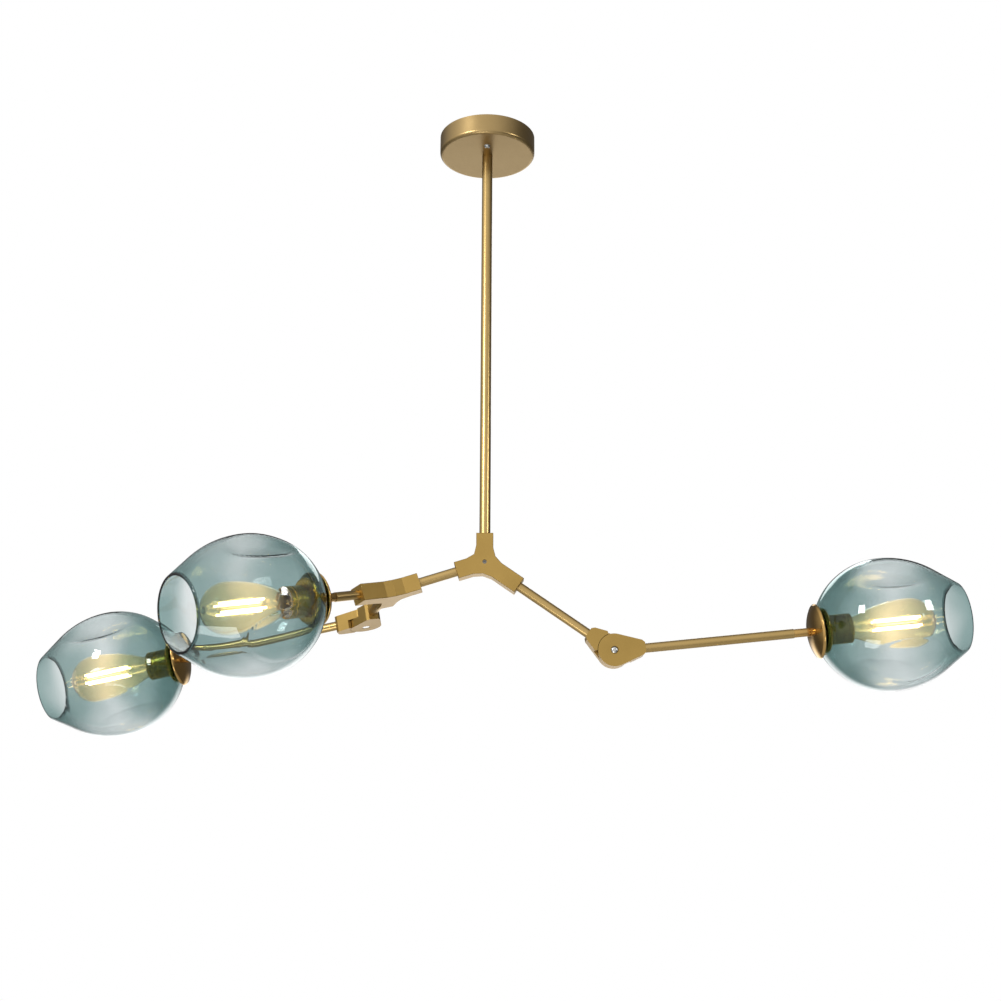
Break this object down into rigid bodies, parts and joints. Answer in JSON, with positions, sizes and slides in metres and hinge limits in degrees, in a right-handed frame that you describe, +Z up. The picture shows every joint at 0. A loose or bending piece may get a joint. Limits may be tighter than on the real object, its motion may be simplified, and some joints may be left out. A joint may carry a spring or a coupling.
{
  "type": "branch chandelier",
  "caption": "Branching ceiling light: a stem from a round canopy carries jointed tube arms, each ending in a dimpled smoky glass bowl round a filament bulb.",
  "frame": {"origin": "on the ceiling plane, on the axis of the stem", "axes": "+Z up along the stem, +X to the right as pictured, +Y away from the viewer"},
  "size_m": [1.1198, 0.4349, 0.7464],
  "materials": {
    "amber_glass": "clear amber glass",
    "canopy_gold": "satin champagne gold",
    "dark_bronze": "antique bronze",
    "filament": "lit filament and glass stem",
    "gasket": "matte",
    "insulator": "matte",
    "nickel": "nickel plated",
    "polished_gold": "polished gold plate",
    "satin_gold": "satin champagne gold",
    "smoke_glass": "clear smoky blue-grey glass",
    "steel": "bright",
    "zinc": "zinc plated"
  },
  "bodies": {
    "ceiling_mount": {"canopy": "canopy_gold", "ceiling_bracket": "zinc", "canopy_screws": "steel", "stem_nipple": "zinc", "stem_locknut": "zinc", "terminal_block": "insulator"},
    "stem_and_hub": {"stem": "satin_gold", "main_hub": "satin_gold", "main_hub_screw": "steel"},
    "right_inner_arm": {"right_inner_tube": "satin_gold", "right_knuckle_base": "satin_gold", "right_pivot_screw": "steel", "right_pivot_nut": "steel"},
    "right_lamp_arm": {"right_knuckle_arm": "satin_gold", "right_outer_tube": "satin_gold", "right_ferrule": "polished_gold", "right_lamp_nipple": "zinc", "right_cap": "polished_gold", "right_shade_gasket": "gasket", "right_shade": "smoke_glass", "right_shade_ring": "dark_bronze", "right_socket_shell": "dark_bronze", "right_socket_insert": "insulator", "right_bulb_screw_cap": "nickel", "right_bulb_glass": "amber_glass", "right_bulb_filaments": "filament"},
    "left_arm": {"left_inner_tube": "satin_gold", "side_hub": "satin_gold", "side_hub_screw": "steel", "front_tube": "satin_gold", "front_ferrule": "polished_gold", "front_lamp_nipple": "zinc", "front_cap": "polished_gold", "front_shade_gasket": "gasket", "front_shade": "smoke_glass", "front_shade_ring": "dark_bronze", "front_socket_shell": "dark_bronze", "front_socket_insert": "insulator", "front_bulb_screw_cap": "nickel", "front_bulb_glass": "amber_glass", "front_bulb_filaments": "filament"},
    "rear_inner_arm": {"rear_inner_tube": "satin_gold", "rear_knuckle_base": "satin_gold", "rear_pivot_screw": "steel", "rear_pivot_nut": "steel"},
    "rear_lamp_arm": {"rear_knuckle_arm": "satin_gold", "rear_outer_tube": "satin_gold", "rear_ferrule": "polished_gold", "rear_lamp_nipple": "zinc", "rear_cap": "polished_gold", "rear_shade_gasket": "gasket", "rear_shade": "smoke_glass", "rear_shade_ring": "dark_bronze", "rear_socket_shell": "dark_bronze", "rear_socket_insert": "insulator", "rear_bulb_screw_cap": "nickel", "rear_bulb_glass": "amber_glass", "rear_bulb_filaments": "filament"}
  },
  "joints": [
    {"name": "stem_swivel", "type": "hinge", "parent": "ceiling_mount", "child": "stem_and_hub", "pos_m": [0, 0, -0.04], "axis": [0, 0, 1], "range_deg": [-170, 170]},
    {"name": "right_arm_swivel", "type": "hinge", "parent": "stem_and_hub", "child": "right_inner_arm", "pos_m": [0, 0, -0.553], "axis": [0.8241, 0, -0.5664], "range_deg": [-170, 170]},
    {"name": "right_knuckle_hinge", "type": "hinge", "parent": "right_inner_arm", "child": "right_lamp_arm", "pos_m": [0.14999, 0, -0.65609], "axis": [-0.0257, 0.999, -0.0374], "range_deg": [-39, 121]},
    {"name": "left_arm_swivel", "type": "hinge", "parent": "stem_and_hub", "child": "left_arm", "pos_m": [0, 0, -0.553], "axis": [-0.9548, 0, -0.2974], "range_deg": [-170, 170]},
    {"name": "rear_arm_swivel", "type": "hinge", "parent": "left_arm", "child": "rear_inner_arm", "pos_m": [-0.10884, 0, -0.5869], "axis": [-0.3558, 0.9233, -0.1446], "range_deg": [-170, 170]},
    {"name": "rear_knuckle_hinge", "type": "hinge", "parent": "rear_inner_arm", "child": "rear_lamp_arm", "pos_m": [-0.15011, 0.10711, -0.60367], "axis": [0.1914, -0.0795, -0.9783], "range_deg": [-18, 142]}
  ]
}
